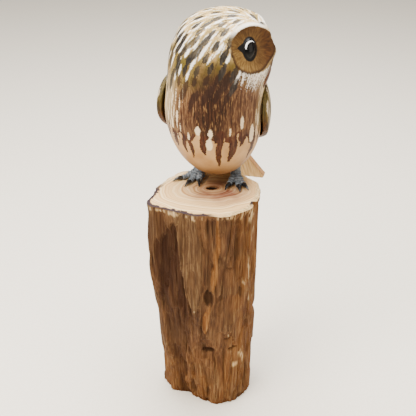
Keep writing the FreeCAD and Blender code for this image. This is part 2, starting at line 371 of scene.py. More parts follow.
rim_gap = np.where(inside, -rim_gap, rim_gap)
in_face = smooth_step(-rim_gap, -0.1, 0.5)

chin = np.linalg.norm((points - HEAD - heading(FACE_TURN + 10) * 45 - [0, 0, -17]) / [20, 20, 17],
                      axis=1)
store(owl, "chin", 1 - smooth_step(chin, 0.6, 1.0))

# Strokes sweep away from the brow, over the crown and down the back.
BROW = np.array([48.0, 4.0, LOG_TOP + 158.0])
sweep = points - BROW
sweep -= (sweep * normals).sum(1)[:, None] * normals
sweep /= np.linalg.norm(sweep, axis=1)[:, None] + 1e-9
fall = np.array([0, 0, -1.0]) + normals[:, 2:3] * normals
flow = sweep + 0.9 * fall
flow /= np.linalg.norm(flow, axis=1)[:, None] + 1e-9
across_flow = np.cross(normals, flow)


def spot(at_turn, at_level):
    """Index of the outer surface point nearest a turn and a level."""
    off = ((turn - at_turn + 180) % 360 - 180) * 0.75
    return int(np.argmin(off ** 2 + (level - at_level) ** 2))


dice = random.Random(11)
SLATE_MARKS = [(-57, 373), (-38, 373), (-22, 375), (-55, 358), (-38, 360), (-19, 361), (-29, 341),
               (-25, 328), (-16, 343), (-1, 351), (1, 364), (9, 376), (-2, 387), (-29, 386),
               (-61, 388), (-43, 349), (-40, 335), (-62, 342), (-72, 362), (-10, 333), (5, 340)]
marks = [spot(*mark) for mark in SLATE_MARKS]
lower_edge = 326 - 55 * smooth_step(np.abs(turn + 5), 80, 130)
feathered = (rim_gap > 4.5) & (level > lower_edge) & ~((turn > 14) & (turn < 95) & (level < 352))
taken = np.zeros(len(points), bool)
for index in marks:
    taken |= np.linalg.norm(points - points[index], axis=1) < 8.5
marks += brush.scatter(feathered & ~taken, flow, 14.0, 8.5, 5)
for index in marks:
    size = dice.uniform(0.85, 1.15) * (0.82 if level[index] > 380 else 1.0)
    low_front = level[index] < (345 if turn[index] > -30 else 338) and -56 < turn[index] < 40
    brush.stroke("umber" if low_front else "slate", brush.trace(index, flow, 12.5 * size),
                 2.9 * size, 0.45, 0.25)
    beside = brush.nearest(points[index] + across_flow[index] * 4.0 * size + flow[index]
                           * dice.uniform(-2, 2))
    brush.stroke("olive", brush.trace(brush.nearest(points[index] - across_flow[index] * 3.5), flow,
                                      16.0), 3.4, 0.5, 0.3)
    if not low_front and (level[index] > 358 or (abs(turn[index]) > 45 and level[index] > 338)
                          or dice.random() < 0.4):
        brush.stroke("white", brush.trace(beside, flow, dice.uniform(9, 14) * size),
                     dice.uniform(1.2, 1.7) * size, 0.45, 0.1)
for at_turn, height, length in ((-30, 322, 13), (-16, 326, 14), (-2, 331, 15), (4, 345, 15),
                                (-44, 327, 12), (22, 352, 12)):
    brush.stroke("umber", brush.trace(spot(at_turn, height), flow, length), 2.9, 0.5, 0.3)
brush.stroke("slate", brush.trace(spot(14, 337), flow, 15.0), 3.4, 0.6, 0.4)
brush.stroke("slate", brush.trace(spot(14, 372), flow, 18.0), 3.2, 0.5, 0.4)

for index in brush.scatter(feathered & (level > 340), flow, 26.0, 4.5, 8, 20000):
    brush.stroke("hair", brush.trace(index, flow, dice.uniform(16, 32)), 0.75, 0.25, 0.1)
for index in brush.scatter(feathered & (level > 366), flow, 12.0, 3.4, 9, 20000):
    brush.stroke("white", brush.trace(index, flow, dice.uniform(7, 15)), dice.uniform(0.55, 1.05),
                 0.3, 0.1)

# The brown breast ends in tongues that run down into the cream belly.
TONGUES = [(-100, 284, 2.0), (-84, 288, 2.2), (-70, 281, 2.4), (-54, 275, 2.6), (-38, 272, 2.6),
           (-29, 267, 2.2), (-12, 272, 3.2), (7, 259, 2.8), (23, 264, 3.8), (35, 279, 2.6),
           (55, 262, 2.6), (68, 276, 2.2), (84, 280, 2.4), (100, 272, 2.2), (118, 278, 2.6),
           (137, 268, 2.8), (155, 275, 2.8), (172, 264, 3.0), (-171, 276, 2.6), (-152, 266, 2.8),
           (-135, 277, 2.6), (-117, 270, 2.4)]
ragged = value_noise(points, (5, 5, 5), 3) * 1.6
brown_edge = 286.0 + 3 * smooth_step(np.abs(turn), 45, 75) - 6 * np.exp(-((turn - 50) / 14) ** 2)
brown = np.clip(level - brown_edge + ragged, -3, 6)
down = downhill(normals)
ARCHES = [(-92, 297), (-77, 300), (-62, 292), (-42, 289), (-31, 285), (-20, 291), (-10, 288),
          (-2, 286), (9, 294), (29, 291), (41, 287), (62, 295), (76, 298), (92, 292), (109, 296),
          (127, 290), (146, 297), (164, 288), (-179, 292), (-161, 297), (-143, 290), (-125, 296),
          (-108, 291)]
for at_turn, top in ARCHES:
    path = [points[spot(at_turn + 1.2 * math.sin(share * 9 + at_turn), 278 + (top - 278) * share)]
            for share in np.linspace(0, 1, 7)]
    brush.stroke("arch", path, dice.uniform(2.3, 3.0), 1.2, 0.7)
brown = np.minimum(brown, -2.2 * brush.field("arch"))
for at_turn, tip, half_width in TONGUES:
    path = []
    for share in np.linspace(0, 1, 9):
        height = 296 + (tip - 296) * share
        path.append(points[spot(at_turn + 1.5 * math.sin(share * 7 + at_turn), height)])
    brush.stroke("tongue", path, half_width, 1.3, 0.28)
    for share in (0.45, 0.7):
        knot = spot(at_turn + dice.uniform(-3, 3), 296 + (tip - 296) * share)
        brush.stroke("tongue", brush.trace(knot, down, 3.0), half_width * 0.75, 0.7, 0.6)
brown = np.maximum(brown, brush.field("tongue"))

DROPS = [(34, 303, 8.5, 2.0), (63, 300, 9.0, 2.2), (51, 289, 13.0, 3.4), (-19, 297, 7.0, 2.9),
         (-4, 295, 5.0, 2.3), (-5, 284, 10.0, 3.2), (-31, 290, 6.0, 1.4), (19, 296, 5.0, 1.1),
         (-48, 306, 9.0, 1.6), (-56, 299, 9.0, 1.7), (73, 306, 8.0, 1.5), (-66, 303, 10.0, 1.5),
         (80, 297, 9.0, 1.8), (-76, 311, 9.0, 1.3), (72, 318, 8.0, 1.2), (-60, 317, 8.0, 1.2),
         (90, 309, 8.0, 1.4), (-84, 296, 9.0, 1.6)]
for at_turn, height, length, half_width in DROPS:
    brush.stroke("drop", brush.trace(spot(at_turn, height), down, length, 1.5), half_width, 0.35,
                 0.7)
brush.stroke("tongue", [points[spot(47 - share * 12, 296 - share * 15)]
                        for share in np.linspace(0, 1, 6)], 1.0, 1.0, 0.6)
brown = np.maximum(brown, brush.field("tongue"))
flank = ((turn < -42) & (turn > -112) | (turn > 58) & (turn < 118)) & (level > 284) & (level < 330)
for index in brush.scatter(flank & (hollow > 2), down, 13.0, 3.6, 14, 12000):
    brush.stroke("cream", brush.trace(index, down, dice.uniform(7, 15)), dice.uniform(0.5, 1.1),
                 0.3, 0.2)

# White throat under the near half of the face, combed downwards.
for number in range(46):
    at_turn = 19 + number * 1.15 + dice.uniform(-1.2, 1.2)
    start = 357 - 10.0 * math.sin((number / 45) * math.pi) + dice.uniform(-1.5, 1.0)
    path = [points[spot(at_turn, start - drop)] for drop in np.linspace(0, dice.uniform(10, 22), 6)]
    brush.stroke("throat", path, dice.uniform(0.45, 0.85), 1.3, 0.1)

store(owl, "in_face", in_face)
store(owl, "rim_gap", np.clip(rim_gap, -20, 20))
store(owl, "lobe_up", lobe_up)
store(owl, "lobe_across", lobe_across)
for name in ("slate", "white", "hair", "drop", "cream", "throat", "umber", "olive"):
    store(owl, name, brush.field(name))
store(owl, "brown", brown)
front = np.abs(turn - 4)
breast_top = 338 + 16 * np.exp(-((turn - 8) / 26) ** 2)
store(owl, "breast", smooth_step(level, 262, 285)
      * (1 - smooth_step(level, breast_top - 16, breast_top + 8)) *
      (1 - smooth_step(front, 46, 84)))
# Painted shade: the belly is darkened towards its bottom.
store(owl, "low_belly", 1 - smooth_step(level, 243, 272))
store(owl, "core", np.clip(0.92 * np.exp(-((turn + 6) / 26) ** 2), 0, 1)
      * smooth_step(level, 264, 286) *
      (1 - smooth_step(level, 342, 370)))
ring_turn = np.abs(turn - 6) - 9 * smooth_step(-turn, 20, 60)
store(owl, "flank", (1 + 0.9 * smooth_step(turn, 52, 70)) * smooth_step(ring_turn, 46, 66)
      * (1 - smooth_step(ring_turn, 112, 135)) *
      smooth_step(level + 8 * smooth_step(turn, 20, 40), 290, 308)
      * (1 - smooth_step(level, 326, 352)))
store(owl, "crown", smooth_step(level, 352, 382))

# Black almond round each eye, drawn to a point at its outer corner.
eye_up = lobe_up + 5.6
lean = math.radians(10)
slant = lobe_across * math.cos(lean) + eye_up * math.sin(lean)
rise = -lobe_across * math.sin(lean) + eye_up * math.cos(lean)
almond = 1 - np.sqrt((slant / 7.9) ** 2 + (rise / 10.6) ** 2)
corner = np.minimum((13.8 - slant) * 0.5, 9.0 * (13.8 - slant) / 13.8 - np.abs(rise - 0.6)) / 6.0
corner = np.where(slant > 0, corner, -1)
store(owl, "almond", np.where(hollow < 1.0, np.clip(np.maximum(almond, corner), -1, 1), -1.0))


# Acrylic paint brushed on carved jelutong-like softwood, then spray varnished:
# the base colours are blended wet, the marks sit on top with dry-brush edges.
paint, tree, shader, mm = new_material("acrylic_on_carved_wood_varnished")
fields = {name: stored(tree, name) for name in
          ("in_face", "rim_gap", "lobe_up", "lobe_across", "slate", "white", "hair", "drop",
           "cream", "throat", "umber", "olive", "brown", "breast", "core", "crown", "almond",
           "low_belly",
           "chin", "flank")}
blotch = noise(tree, mm, 1 / 16, 3.0)
comb_place = stretched(tree, mm, (1.0, 1.0, 0.12))
comb = noise(tree, comb_place, 1 / 1.6, 4.0, 0.65)
bristle = noise(tree, mm, 1 / 1.3, 3.0)
ragged_edge = span(tree, bristle, 0.3, 0.7, to_low=-0.55, to_high=0.55)
paints = {}
for name, where, stops in (
        ("ground", blotch, [(0.36, "504518"), (0.46, "70592A"), (0.56, "9A7C4A"),
                            (0.68, "644E22")]),
        ("crown_tan", comb, [(0.35, "A8823E"), (0.62, "DEC088")]),
        ("breast_brown", comb, [(0.34, "341D0F"), (0.5, "583823"), (0.66, "8C6845")]),
        ("core_brown", comb, [(0.38, "120602"), (0.62, "331808")]),
        ("belly_cream", blotch, [(0.35, "A07849"), (0.65, "BA9466")]),
        ("slate_grey", comb, [(0.35, "12100F"), (0.65, "332F2C")]),
        ("tongue_brown", comb, [(0.36, "280F06"), (0.62, "4E2A16")])):
    paints[name] = colours(tree, where, stops)

edges = {}
for name, low, high in (
        ("slate", 0.0, 0.5), ("white", -0.15, 0.7), ("hair", 0.1, 0.5), ("drop", -0.2, 0.6),
        ("cream", 0.0, 0.5), ("throat", 0.0, 0.7), ("umber", -0.2, 0.9), ("olive", -0.6, 2.4),
        ("brown", -0.2, 0.3)):
    rough = sum_up(tree, "ADD", fields[name], ragged_edge)
    edges[name] = span(tree, rough, low, high)
white_wear = span(tree, comb, 0.3, 0.6, to_low=0.62, to_high=0.95)
thin_white = times(tree, edges["white"], white_wear)
thin_hair = times(tree, edges["hair"], 0.9)
slate_wear = span(tree, blotch, 0.35, 0.65, to_low=1.0, to_high=0.78)
thin_slate = times(tree, edges["slate"], slate_wear)
not_brown = sum_up(tree, "SUBTRACT", 1.0, edges["brown"])
tongue_zone = span(tree, fields["brown"], 2.5, 5.8, to_low=1.0, to_high=0.0)
# Flecks of bare ground between the hairs of the brush.
fleck_place = stretched(tree, mm, (1.0, 1.0, 0.16))
fleck = noise(tree, fleck_place, 1 / 1.1, 2.0)
fleck_on = span(tree, fleck, 0.58, 0.7, to_high=0.5)
fleck_breast = times(tree, fleck_on, fields["breast"])

# Face hollow: brown hairs combed outwards from the eye.
radial = add(tree, "ShaderNodeCombineXYZ",
             {"X": fields["lobe_across"], "Y": fields["lobe_up"]}).outputs[0]
from_eye = add(tree, "ShaderNodeVectorMath", {0: radial, 1: (0.0, 5.6, 0.0)},
               operation="ADD").outputs[0]
ray = add(tree, "ShaderNodeVectorMath", {0: from_eye}, operation="NORMALIZE").outputs[0]
eye_gap = vector_length(tree, from_eye)
ray_far = scaled(tree, ray, 9.0)
ray_shift = add(tree, "ShaderNodeCombineXYZ", {"Z": eye_gap}).outputs[0]
ray_slow = scaled(tree, ray_shift, 0.12)
ray_spot = add(tree, "ShaderNodeVectorMath", {0: ray_far, 1: ray_slow}, operation="ADD").outputs[0]
ray_hair = noise(tree, ray_spot, 1.5, 5.0, 0.7)
face_hair = colours(tree, ray_hair, [(0.32, "483216"), (0.5, "6C5028"), (0.68, "8C7040")])
face_dark = colours(tree, ray_hair, [(0.35, "2C1808"), (0.65, "4E3012")])
bands = {}
for name, field, low, high in (
        ("upper", "lobe_up", -12.0, 14.0), ("inner", "lobe_across", 8.0, -16.0),
        ("rim_low", "rim_gap", -0.7, 0.0), ("rim_high", "rim_gap", 4.5, 2.0),
        ("cheek_low", "rim_gap", -2.4, -0.4), ("cheek_high", "rim_gap", 1.2, 0.3),
        ("brow_side", "lobe_up", 6.0, 16.0), ("cheek_side", "lobe_up", 4.0, -6.0),
        ("almond", "almond", -0.03, 0.05)):
    bands[name] = span(tree, fields[field], low, high)
# Painted shade under the brow darkens the top of each hollow; the inner side is painted darker too.
brow_shade_and_inner_dark = sum_up(tree, "MAXIMUM", bands["upper"], bands["inner"])
face_paint = laid(tree, brow_shade_and_inner_dark, face_hair, face_dark)
cheek_band = times(tree, bands["cheek_low"], bands["cheek_high"])
rim_band = times(tree, bands["rim_low"], bands["rim_high"])
white_brow = times(tree, rim_band, bands["brow_side"])
dark_cheek = times(tree, cheek_band, bands["cheek_side"])
thin_cheek = times(tree, dark_cheek, 0.85)

# Painted shade laid low on the belly.
belly_bottom_shade = times(tree, fields["low_belly"], 0.78)
flank_some = times(tree, fields["flank"], comb)

# Layers in the order they go on, each with where it shows and its colour.
coat = paints["ground"]
white_paint, drop_cream, hair_umber = tint("FBF6EC"), tint("DAC3A0"), tint("43331C")
umber_most = times(tree, edges["umber"], 0.8)
olive_most = times(tree, edges["olive"], 0.7)
for where, colour in (
        (fields["crown"], paints["crown_tan"]), (olive_most, tint("6B5C22")),
        (fields["breast"], paints["breast_brown"]), (fields["core"], paints["core_brown"]),
        (fleck_breast, tint("9A7448")), (tongue_zone, paints["tongue_brown"]),
        (flank_some, tint("D2B98C")), (not_brown, paints["belly_cream"]),
        (belly_bottom_shade, tint("553C26")), (thin_hair, hair_umber), (edges["cream"], drop_cream),
        (edges["drop"], drop_cream), (umber_most, tint("241109")), (thin_white, white_paint),
        (thin_slate, paints["slate_grey"]), (edges["throat"], tint("E6DDD2")),
        (fields["chin"], face_dark), (fields["in_face"], face_paint), (white_brow, white_paint),
        (thin_cheek, tint("2A170B")), (bands["almond"], tint("0B0A0A"))):
    coat = laid(tree, where, coat, colour)
feed(tree, shader, "Base Color", coat)
brush_relief = bumps(tree, comb, 0.35, 0.00025)
chisel = noise(tree, mm, 1 / 9, 1.0)
relief = add(tree, "ShaderNodeBump", {"Height": chisel, "Strength": 0.5, "Distance": 0.0012,
                                      "Normal": brush_relief}).outputs[0]
feed(tree, shader, "Normal", relief)
sheen_patch = span(tree, blotch, 0.3, 0.7, to_low=0.42, to_high=0.58)
feed(tree, shader, "Roughness", sheen_patch)
shader.inputs["Specular IOR Level"].default_value = 0.14
finish_piece(owl, paint, "painted_wood", "owl_body")


# ------------------------------------------------------------------- wings
# The same acrylic over thin board: striped outside, plain olive to brown inside.
wing_paint, tree, shader, mm = new_material("acrylic_on_wing_board_varnished")
outer = stored(tree, "outer")
low_down = stored(tree, "low_down")
bar = stored(tree, "bar")
pale_bar = stored(tree, "pale_bar")
grain_place = stretched(tree, mm, (1.0, 1.0, 0.16))
grain = noise(tree, grain_place, 1 / 1.4, 4.0)
inside_olive = colours(tree, grain, [(0.35, "3A3216"), (0.65, "5C4D26")])
inside_brown = colours(tree, grain, [(0.35, "32190A"), (0.65, "553314")])
outside_tan = colours(tree, grain, [(0.34, "493D1A"), (0.5, "64522A"), (0.66, "80693C")])
bristle = noise(tree, mm, 1 / 1.2, 3.0)
ragged_edge = span(tree, bristle, 0.3, 0.7, to_low=-0.5, to_high=0.5)
coat = laid(tree, low_down, inside_olive, inside_brown)
coat = laid(tree, outer, coat, outside_tan)
for field, colour in ((bar, "3B2F22"), (pale_bar, "B9A688")):
    rough = sum_up(tree, "ADD", field, ragged_edge)
    edge = span(tree, rough, 0.0, 0.4, to_high=0.92)
    coat = laid(tree, edge, coat, tint(colour))
feed(tree, shader, "Base Color", coat)
relief = bumps(tree, grain, 0.5, 0.0003)
feed(tree, shader, "Normal", relief)
shader.inputs["Roughness"].default_value = 0.5
shader.inputs["Specular IOR Level"].default_value = 0.14

for node, outward_turn in (("wing_left", 75.0), ("wing_right", -105.0)):
    wing = dense_copy(node, node.replace("wing", "painted_wing"), 0.7, 4)
    points = points_of(wing)
    normals = normals_of(wing)
    outward = heading(outward_turn)
    low, high = points.min(0), points.max(0)
    rise = (points[:, 2] - low[2]) / (high[2] - low[2])
    outside = smooth_step(normals @ outward, 0.25, 0.6)
    outward_skin = normals @ outward > 0.45
    wing_brush = Brush(points, normals)
    down = downhill(normals)
    dice = random.Random(21)
    for index in wing_brush.scatter(outward_skin & (rise > 0.08), down, 15.0, 6.0, 31, 12000):
        wing_brush.stroke("bar", wing_brush.trace(index, down, dice.uniform(9, 14)),
                          dice.uniform(1.2, 1.8), 0.4, 0.2)
    for index in wing_brush.scatter(outward_skin & (rise > 0.05), down, 13.0, 6.5, 37, 12000):
        wing_brush.stroke("pale_bar", wing_brush.trace(index, down, dice.uniform(10, 18)),
                          dice.uniform(0.7, 1.3), 0.4, 0.2)
    store(wing, "bar", wing_brush.field("bar"))
    store(wing, "pale_bar", wing_brush.field("pale_bar"))
    store(wing, "outer", outside)
    store(wing, "low_down", smooth_step(0.75 - rise, 0.0, 0.35))
    finish_piece(wing, wing_paint, "painted_wood", node)

# -------------------------------------------------------------------- tail
# Jelutong board, cut and sanded, left pale under the varnish with a stained edge.
tail_wood, tree, shader, mm = new_material("pale_softwood_varnished")
edge_gap = stored(tree, "edge_gap")
along = stored(tree, "along")
across = stored(tree, "across")
spread = times(tree, along, 0.07)
grain_place = add(tree, "ShaderNodeCombineXYZ", {"X": across, "Y": spread}).outputs[0]
grain = noise(tree, grain_place, 1 / 1.6, 5.0)
board = colours(tree, grain, [(0.32, "C4904A"), (0.5, "E0B46E"), (0.7, "F0CE90")])
stain = span(tree, edge_gap, 1.7, 0.5, to_high=0.75)
coat = laid(tree, stain, board, tint("9A6A4A"))
feed(tree, shader, "Base Color", coat)
relief = bumps(tree, grain, 0.4, 0.0003)
feed(tree, shader, "Normal", relief)
shader.inputs["Roughness"].default_value = 0.5
shader.inputs["Specular IOR Level"].default_value = 0.2

tail = dense_copy("tail", "pale_tail", 0.7, 4)
points = points_of(tail)
normals = normals_of(tail)
tail_way = heading(158, -60)
tail_side = heading(248)
root = np.array([7.0, 22.0, 260.0]) + 24 * heading(158)
run = (points - root) @ tail_way
side = (points - root) @ tail_side
face = np.cross(tail_way, tail_side)
edge = 1 - np.abs(normals @ face)
gap_tree = kdtree.KDTree(len(points))
rim = np.flatnonzero(edge > 0.55)
for index in rim:
    gap_tree.insert(points[index], int(index))
gap_tree.balance()
store(tail, "edge_gap", np.array([min(gap_tree.find(point)[2], 8.0) for point in points]))
store(tail, "along", run)
store(tail, "across", side)
cut = 0.35 * value_noise(np.stack([side, run, side * 0], 1), (5, 26, 9), 4)
move_points(tail, points - normals * np.clip(cut + 0.1, 0, 0.5)[:, None])
finish_piece(tail, tail_wood, "pale_wood", "tail")

# -------------------------------------------------------------------- beak
# Hard dark wood, carved, stained red-brown and polished.
beak_wood, tree, shader, mm = new_material("stained_hardwood_polished")
grain_place = stretched(tree, mm, (1.0, 1.0, 0.2))
grain = noise(tree, grain_place, 1 / 1.5, 4.0)
wood = colours(tree, grain, [(0.35, "2E1408"), (0.65, "5A3016")])
feed(tree, shader, "Base Color", wood)
relief = bumps(tree, grain, 0.4, 0.0002)
feed(tree, shader, "Normal", relief)
shader.inputs["Roughness"].default_value = 0.4
shader.inputs["Specular IOR Level"].default_value = 0.25

# -------------------------------------------------------------------- eyes
# Beads of black lacquer over wood: flowed smooth, so they mirror the room.
# A white crescent round the upper outer edge is a painted highlight, fixed on the bead.
eye_materials = {}
for node, side in (("eye_left", 1), ("eye_right", -1)):
    lacquer, tree, shader, mm = new_material("black_lacquer_" + node)
    low, high = [np.array(corner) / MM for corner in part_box(node)]
    middle = (low + high) / 2
    out, across, up = lobe_frame(side)
    parts = {}
    for name, way in (("across", across), ("up", up)):
        dot = add(tree, "ShaderNodeVectorMath", {0: mm, 1: tuple(way)},
                  operation="DOT_PRODUCT").outputs["Value"]
        parts[name] = sum_up(tree, "SUBTRACT", dot, float(middle @ way))
    ring_gaps = []
    for reach, shift_across, shift_up in ((5.6, 0.2, 1.2), (5.4, 0.9, 0.3)):
        x = sum_up(tree, "SUBTRACT", parts["across"], shift_across)
        y = sum_up(tree, "SUBTRACT", parts["up"], shift_up)
        flat = add(tree, "ShaderNodeCombineXYZ", {"X": x, "Y": y}).outputs[0]
        far = vector_length(tree, flat)
        ring_gaps.append(sum_up(tree, "SUBTRACT", reach, far))
    outside_small = times(tree, ring_gaps[1], -1.0)
    both = sum_up(tree, "MINIMUM", ring_gaps[0], outside_small)
    high_up = sum_up(tree, "SUBTRACT", parts["up"], 0.5)
    highlight_crescent = sum_up(tree, "MINIMUM", both, high_up)
    painted_highlight_on = span(tree, highlight_crescent, -0.05, 0.25)
    wisp = noise(tree, mm, 1 / 1.5, 2.0)
    black = colours(tree, wisp, [(0.35, "050505"), (0.65, "100E0D")])
    # Painted highlight: white crescent laid over the black lacquer.
    coat = laid(tree, painted_highlight_on, black, tint("F2F0EC"))
    feed(tree, shader, "Base Color", coat)
    shader.inputs["Roughness"].default_value = 0.16
    shader.inputs["Specular IOR Level"].default_value = 0.16
    eye_materials[node] = lacquer

# -------------------------------------------------------------------- feet
# Cold-cast resin toes, sculpted with scale rings, painted slate and dry-brushed
# pale on the high places; the upward faces are painted paler still as painted highlight.
resin, tree, shader, mm = new_material("painted_resin_cast")
ridge = stored(tree, "ridge")
grit = noise(tree, mm, 1 / 0.9, 3.0)
dry_brush_and_top_light = times(tree, ridge, grit)
slate = colours(tree, dry_brush_and_top_light, [(0.05, "31363C"), (0.3, "5C646C"), (0.6, "929AA2")])
feed(tree, shader, "Base Color", slate)
relief = bumps(tree, grit, 0.5, 0.0003)
feed(tree, shader, "Normal", relief)
shader.inputs["Roughness"].default_value = 0.4

for node, ankle in (("foot_left", (28.5, 27.0)), ("foot_right", (-6.0, 34.0))):
    foot = dense_copy(node, node.replace("foot", "scaled_foot"), 0.45, 3)
    points = points_of(foot)
    normals = normals_of(foot)
    away = np.hypot(points[:, 0] - ankle[0], points[:, 1] - ankle[1])
    wobble = value_noise(points, (3, 3, 3), 6) * 0.5
    ring = np.sin((away + wobble) * 2 * math.pi / 2.5)
    on_toe = smooth_step(away, 5.5, 8.0) * smooth_step(normals[:, 2], -0.2, 0.3)
    lumps = value_noise(points, (1.6, 1.6, 1.6), 8)
    bump = 0.22 * ring * on_toe + 0.16 * lumps * smooth_step(normals[:, 2], -0.4, 0.2) - 0.15
    clear = smooth_step(points[:, 2] - LOG_TOP, 0.6, 1.4)
    move_points(foot, points + normals * (bump * clear)[:, None])
    # Ridge value: dry-brushed high places, plus painted highlight on the upward faces.
    store(foot, "ridge", np.clip(0.68 + 0.26 * ring * on_toe + 0.2 * lumps, 0, 1) *
          (0.6 + 0.4 * smooth_step(normals[:, 2], 0, 0.8)))
    finish_piece(foot, resin, "foot_cast", node)

# ------------------------------------------- pieces that keep their CAD form
# Claws: cast resin, black gloss enamel. Pins: bright drawn steel.
# Dowels: beech, turned, with end grain and long fleck.
enamel, tree, shader, mm = new_material("black_gloss_enamel")
wisp = noise(tree, mm, 1 / 1.2, 3.0)
black = colours(tree, wisp, [(0.35, "0B0C0E"), (0.65, "232527")])
feed(tree, shader, "Base Color", black)
shader.inputs["Roughness"].default_value = 0.2
shader.inputs["Coat Weight"].default_value = 0.4

drawn_steel, tree, shader, mm = new_material("drawn_steel_pin")
draw_place = stretched(tree, mm, (1.0, 1.0, 0.02))
draw = noise(tree, draw_place, 1 / 0.3, 2.0)
steel = colours(tree, draw, [(0.3, "8C8C8C"), (0.7, "B4B4B2")])
feed(tree, shader, "Base Color", steel)
shader.inputs["Metallic"].default_value = 1.0
shader.inputs["Roughness"].default_value = 0.3

beech, tree, shader, mm = new_material("turned_beech_dowel")
fleck_place = stretched(tree, mm, (0.15, 1.0, 1.0))
fleck = noise(tree, fleck_place, 1 / 0.7, 3.0)
wood = colours(tree, fleck, [(0.35, "B98A5C"), (0.65, "DDB98C")])
feed(tree, shader, "Base Color", wood)
shader.inputs["Roughness"].default_value = 0.6

kept_nodes = {"beak": beak_wood, "leg_pin_left": drawn_steel, "leg_pin_right": drawn_steel,
              "wing_dowels_left": beech, "wing_dowels_right": beech, **eye_materials}
for foot_name in ("left", "right"):
    for toe in (1, 2, 3, 4):
        kept_nodes[f"claw_{foot_name}_{toe}"] = enamel
for node, material in kept_nodes.items():
    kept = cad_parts[node]
    if not kept.material_slots:
        kept.data.materials.append(material)
    for place in kept.material_slots:
        place.material = material

# --------------------------------------------------------------------- log
log = dense_copy("log", "split_log", 1.06, 1)
points = points_of(log)
normals = normals_of(log)
turn = np.degrees(np.arctan2(points[:, 0], -points[:, 1]))
level = points[:, 2]
reach = np.hypot(points[:, 0], points[:, 1])
bins = np.floor((turn + 180) / 3).astype(int) % 120
layers = np.clip(np.floor(level / 8).astype(int), 0, 27)
outline = np.zeros((28, 120))
np.maximum.at(outline, (layers, bins), reach)
for _ in range(3):
    blank = outline == 0
    outline = np.where(blank, np.roll(outline, 1, 1), outline)
smooth_outline = (np.roll(outline, 1, 1) + outline * 2 + np.roll(outline, -1, 1)) / 4
where_bin = (turn + 180) / 3 - 0.5
left_bin = np.floor(where_bin).astype(int)
share = where_bin - left_bin
edge_reach = (smooth_outline[layers, left_bin % 120] * (1 - share) +
              smooth_outline[layers, (left_bin + 1) % 120] * share)
rim_gap = edge_reach - reach
skin = smooth_step(-rim_gap, -9.0, -2.5)


def dent(at_turn, at_level, half_width, half_height, soft=0.5):
    """1 inside an oval on the side of the log, fading over its edge."""
    off_turn = ((turn - at_turn + 180) % 360 - 180) * 0.8
    oval = np.sqrt((off_turn / half_width) ** 2 + ((level - at_level) / half_height) ** 2)
    return 1 - smooth_step(oval + 0.45 * coarse + 0.4 * fibre + 0.2 * fine, 1 - soft,
                           1 + soft * 0.3)


def strip(levels, turns, half_widths, edge_soft=0.6, torn=1.6):
    """1 inside a strip that runs up the log, with a torn edge."""
    middle = np.interp(level, levels, turns)
    half = np.interp(level, levels, half_widths)
    off = np.abs((turn - middle + 180) % 360 - 180) * 0.8
    return smooth_step(half - off + torn * fibre + torn * coarse, -edge_soft, edge_soft)


fibre = value_noise(points, (2.4, 2.4, 26), 41)
fine = value_noise(points, (1.6, 1.6, 14), 42)
coarse = value_noise(points, (7, 7, 34), 43)
broad = value_noise(points, (17, 17, 80), 44)
wander = value_noise(points, (7, 7, 38), 45)
crease = 1 - np.abs(value_noise(points, (8, 8, 75), 46)) * 3.2
sink = 0.3 * fine + 0.5 * fibre + 1.2 * coarse + 1.4 * broad + 1.4
sink += 2.4 * np.clip(crease, 0, 1) ** 2
sink += (1.1 * smooth_step(wander, 0.12, 0.2) +
         0.9 * smooth_step(value_noise(points, (9, 9, 30), 47), 0.2, 0.26))

valley = strip([0, 30, 60, 110, 140, 187, 206, 216], [-60, -58, -52, -43, -45, -47, -42, -38],
               [6, 9, 12, 15, 13, 9, 4, 0], 2.2, 3.4)
plate = strip([104, 118, 140, 165, 190, 227], [-13, -16, -17, -19, -20, -24],
              [-3, 2, 8, 11, 12, 11], 0.5)
second = strip([88, 100, 112, 130, 160, 196], [0, -1, 0, 6, 11, 13], [-2, 3, 4, 1.5, 2, 1], 0.5)
sink += 3.4 * valley
ridge = strip([118, 150, 180, 227], [-9, -8, -9, -12], [0.2, 1.4, 1.6, 1.2], 1.2)
sink -= 2.0 * plate + 1.4 * second + 1.2 * ridge
pits = [(3, 137, 3.8, 7.5, 3.4), (4, 71, 7.5, 2.6, 3.2), (-3, 76, 2.5, 6.0, 2.0),
        (41, 72, 6.5, 1.3, 2.2), (28, 86, 4.0, 1.2, 1.2), (-47, 178, 3.0, 8.0, 1.6),
        (-20, 98, 3.5, 15.0, 1.6), (38, 188, 7.0, 16.0, 1.3), (44, 140, 4.0, 6.0, 1.8),
        (66, 28, 2.4, 20.0, 3.4), (-33, 14, 9.0, 10.0, 2.6), (4, 16, 6.0, 7.0, 1.2),
        (80, 150, 2.0, 50.0, 2.4), (-72, 96, 6.0, 14.0, 1.6), (110, 120, 5.0, 40.0, 2.4),
        (150, 60, 8.0, 26.0, 2.6), (150, 170, 5.0, 30.0, 2.2), (-120, 150, 7.0, 34.0, 2.4),
        (-140, 70, 5.0, 30.0, 2.6), (-165, 130, 4.0, 40.0, 2.4), (-95, 190, 4.0, 20.0, 1.8),
        (178, 30, 9.0, 18.0, 2.2), (85, 60, 6.0, 16.0, 1.6), (125, 200, 6.0, 12.0, 1.6)]
hole = np.zeros(len(points))
for at_turn, at_level, half_width, half_height, depth in pits:
    here = dent(at_turn, at_level, half_width, half_height)
    hole = np.maximum(hole, here * min(depth / 3, 1))
    sink += here * depth
foot_wear = smooth_step(-level, -9, 0) * (0.8 + 1.6 * np.clip(wander + 0.4, 0, 1))
sink += foot_wear
sink = np.clip(sink, 0, 8)
near_top = smooth_step(level, 219, 226)
notch = dent(63, 227, 3.5, 10.0) * (1 - smooth_step(rim_gap, 3.0, 6.0))
sink = sink * (1 - 0.6 * near_top) + 3.6 * notch * near_top
away = np.stack([points[:, 0], points[:, 1], 0 * level], 1) / (reach[:, None] + 1e-6)
sideways = np.stack([normals[:, 0], normals[:, 1], 0 * level], 1)
inward = -away * 0.6 - sideways * 0.4 * (rim_gap < 6)[:, None]
move_points(log, points + inward * (sink * skin)[:, None])

